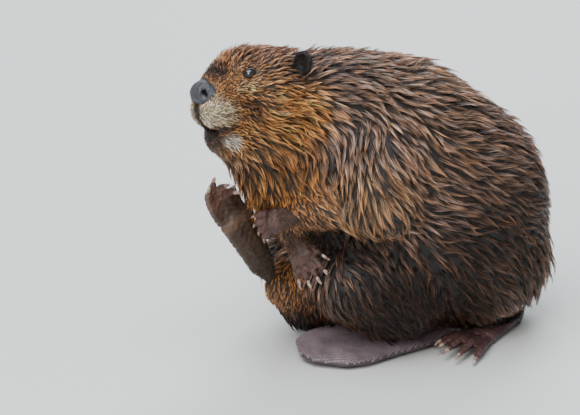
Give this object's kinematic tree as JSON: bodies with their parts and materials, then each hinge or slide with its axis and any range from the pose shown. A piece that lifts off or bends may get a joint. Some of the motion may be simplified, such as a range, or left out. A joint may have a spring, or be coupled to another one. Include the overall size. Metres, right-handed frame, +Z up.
{
  "type": "beaver",
  "caption": "Still, life-size model of a wet beaver sitting on its haunches and grooming, a hind foot raised to its chest and the flat scaly tail laid forward on the ground.",
  "frame": {"origin": "on the floor, under the middle of the model's box", "axes": "+Z up, -Y towards the nose, +X towards the animal's left side"},
  "size_m": [0.3044, 0.4902, 0.4082],
  "materials": {
    "body_fur": "wet guard hair in pointed locks",
    "face_fur": "short damp fur",
    "bare_skin": "damp skin",
    "tail": "fine wet scales",
    "claw": "horn",
    "eye": "wet and glossy"
  },
  "bodies": {
    "root": {"head": "face_fur", "left_arm": "body_fur", "left_ear": "bare_skin", "left_eye": "eye", "left_foot": "bare_skin", "left_foot_claw_1": "claw", "left_foot_claw_2": "claw", "left_foot_claw_3": "claw", "left_foot_claw_4": "claw", "left_foot_claw_5": "claw", "left_hand": "bare_skin", "left_hand_claw_1": "claw", "left_hand_claw_2": "claw", "left_hand_claw_3": "claw", "left_hand_claw_4": "claw", "left_hand_claw_5": "claw", "left_leg": "body_fur", "neck": "body_fur", "nose": "bare_skin", "right_arm": "body_fur", "right_ear": "bare_skin", "right_eye": "eye", "right_foot": "bare_skin", "right_foot_claw_1": "claw", "right_foot_claw_2": "claw", "right_foot_claw_3": "claw", "right_foot_claw_4": "claw", "right_foot_claw_5": "claw", "right_hand": "bare_skin", "right_hand_claw_1": "claw", "right_hand_claw_2": "claw", "right_hand_claw_3": "claw", "right_hand_claw_4": "claw", "right_hand_claw_5": "claw", "right_leg": "body_fur", "tail": "tail", "trunk": "body_fur"}
  },
  "joints": []
}
